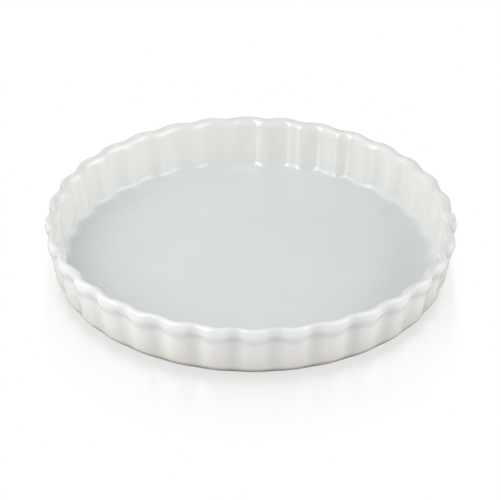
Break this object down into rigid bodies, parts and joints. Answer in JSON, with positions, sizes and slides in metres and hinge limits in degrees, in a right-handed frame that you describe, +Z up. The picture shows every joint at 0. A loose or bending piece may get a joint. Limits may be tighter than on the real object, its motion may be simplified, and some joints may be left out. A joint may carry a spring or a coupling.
{
  "type": "fluted quiche dish",
  "caption": "Round, shallow baking dish with a fluted, slightly leaning wall, a rolled scalloped rim and a flat floor, standing on a bare foot ring.",
  "frame": {"origin": "on the dish's axis, at the level of the surface it stands on", "axes": "+Z up along the dish's axis of symmetry; +X through the crest of one lobe of the flutes"},
  "size_m": [0.285, 0.285, 0.042],
  "materials": {
    "white_glaze": "glossy white glaze",
    "bare_clay": "bare ground stoneware"
  },
  "bodies": {
    "root": {"stoneware_body": "white_glaze", "foot_ring": "bare_clay"}
  },
  "joints": []
}
